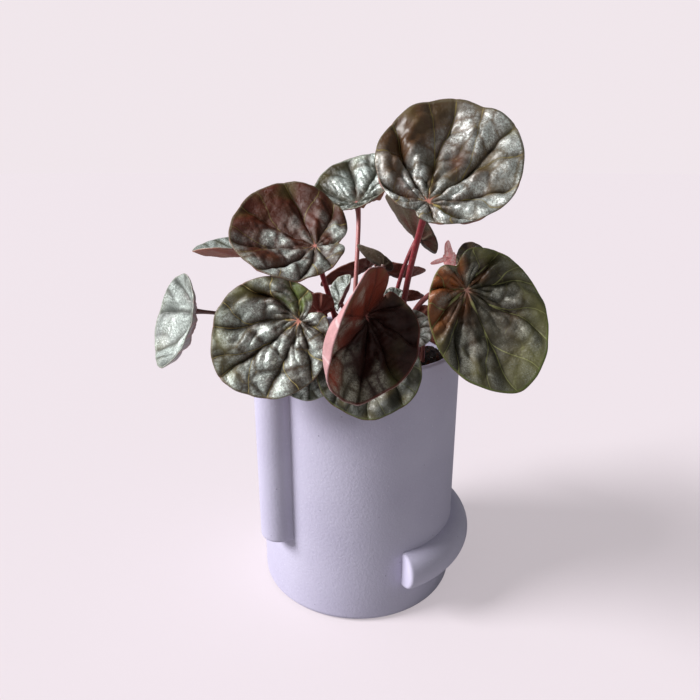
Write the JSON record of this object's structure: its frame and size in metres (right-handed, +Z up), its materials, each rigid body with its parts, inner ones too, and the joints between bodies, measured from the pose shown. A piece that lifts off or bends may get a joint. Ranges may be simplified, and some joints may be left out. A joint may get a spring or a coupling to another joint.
{
  "type": "potted peperomia",
  "caption": "Peperomia with quilted bronze-silver round leaves on red stalks, in a straight matte lavender pot with a moulded half-round bar and roll; stands on its flat base.",
  "frame": {"origin": "centre of the pot's flat base, on the surface it stands on", "axes": "+Z up along the pot's axis, -Y the front of the plant, +X to the right seen from the front"},
  "size_m": [0.1644, 0.153, 0.21],
  "materials": {
    "fired_clay": "matte lavender, fine speckle",
    "soil": "loose potting soil",
    "leaf_blade": "satin, bronze to silver, quilted",
    "leaf_stalk": "fleshy, crimson to pink",
    "young_shoot": "fleshy, pink"
  },
  "bodies": {
    "root": {"blade_01_top": "leaf_blade", "blade_02_back_centre": "leaf_blade", "blade_03_upper_left": "leaf_blade", "blade_04_lower_left": "leaf_blade", "blade_05_far_left": "leaf_blade", "blade_06_left": "leaf_blade", "blade_07_front": "leaf_blade", "blade_08_front_low": "leaf_blade", "blade_09_front_left_low": "leaf_blade", "blade_10_right": "leaf_blade", "blade_11_right_back": "leaf_blade", "blade_12_behind_top": "leaf_blade", "blade_13_mid_left_back": "leaf_blade", "blade_14_mid_right_back": "leaf_blade", "blade_15_mid_left": "leaf_blade", "blade_16_young_silver": "leaf_blade", "blade_17_right_of_front": "leaf_blade", "blade_18_young_curled": "leaf_blade", "blade_19_right_low": "leaf_blade", "blade_20_right_mid": "leaf_blade", "blade_21_left_low": "leaf_blade", "blade_22_back_left": "leaf_blade", "blade_23_back_right": "leaf_blade", "pot": "fired_clay", "soil": "soil", "stalk_01_top": "leaf_stalk", "stalk_02_back_centre": "leaf_stalk", "stalk_03_upper_left": "leaf_stalk", "stalk_04_lower_left": "leaf_stalk", "stalk_05_far_left": "leaf_stalk", "stalk_06_left": "leaf_stalk", "stalk_07_front": "leaf_stalk", "stalk_08_front_low": "leaf_stalk", "stalk_09_front_left_low": "leaf_stalk", "stalk_10_right": "leaf_stalk", "stalk_11_right_back": "leaf_stalk", "stalk_12_behind_top": "leaf_stalk", "stalk_13_mid_left_back": "leaf_stalk", "stalk_14_mid_right_back": "leaf_stalk", "stalk_15_mid_left": "leaf_stalk", "stalk_16_young_silver": "leaf_stalk", "stalk_17_right_of_front": "leaf_stalk", "stalk_18_young_curled": "leaf_stalk", "stalk_19_right_low": "leaf_stalk", "stalk_20_right_mid": "leaf_stalk", "stalk_21_left_low": "leaf_stalk", "stalk_22_back_left": "leaf_stalk", "stalk_23_back_right": "leaf_stalk", "young_shoot": "young_shoot"}
  },
  "joints": []
}
